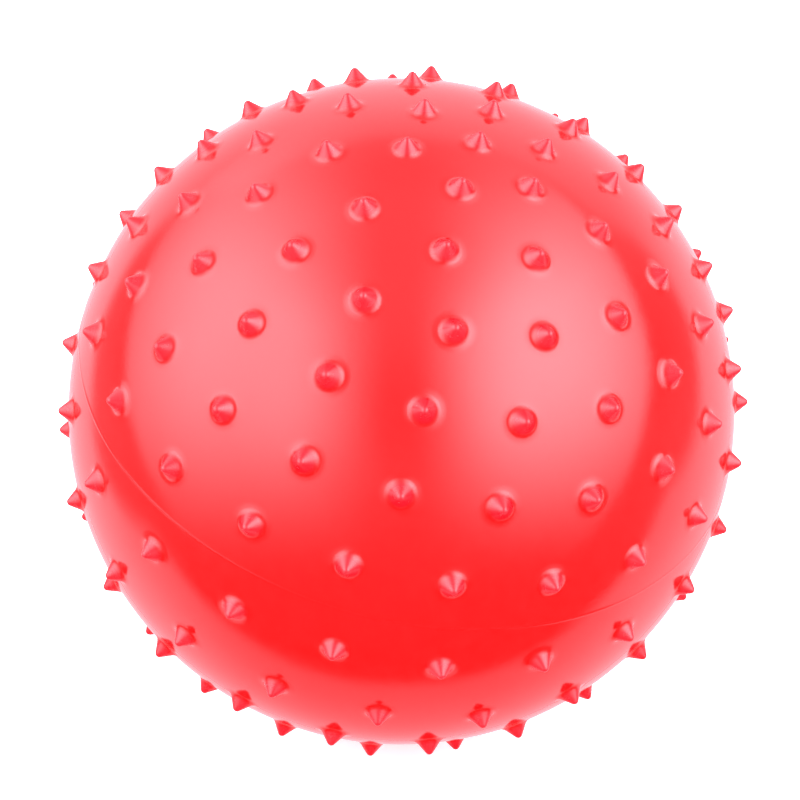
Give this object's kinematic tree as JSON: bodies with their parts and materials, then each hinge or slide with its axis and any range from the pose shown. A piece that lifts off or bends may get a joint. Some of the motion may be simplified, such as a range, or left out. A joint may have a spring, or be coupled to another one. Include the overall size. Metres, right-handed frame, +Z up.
{
  "type": "knobby play ball",
  "caption": "Inflatable soft vinyl play ball covered in rows of rounded nubs, with an air valve closed by a push-in stopper.",
  "frame": {"origin": "centre of the ball's body", "axes": "+Z up as the ball rests on three nubs, +Y out of the valve, +X to the right as the ball is seen from the side away from the valve"},
  "size_m": [0.2071, 0.2048, 0.2062],
  "materials": {
    "ball_skin": "glossy translucent soft vinyl",
    "valve_seat": "satin soft vinyl",
    "valve_plug": "satin natural polyethylene"
  },
  "bodies": {
    "ball": {"ball_skin": "ball_skin", "valve_seat": "valve_seat"},
    "stopper": {"valve_plug": "valve_plug"}
  },
  "joints": [
    {"name": "stopper_pull", "type": "slide", "parent": "ball", "child": "stopper", "axis": [0, 1, 0], "range_m": [0, 0.03]}
  ]
}
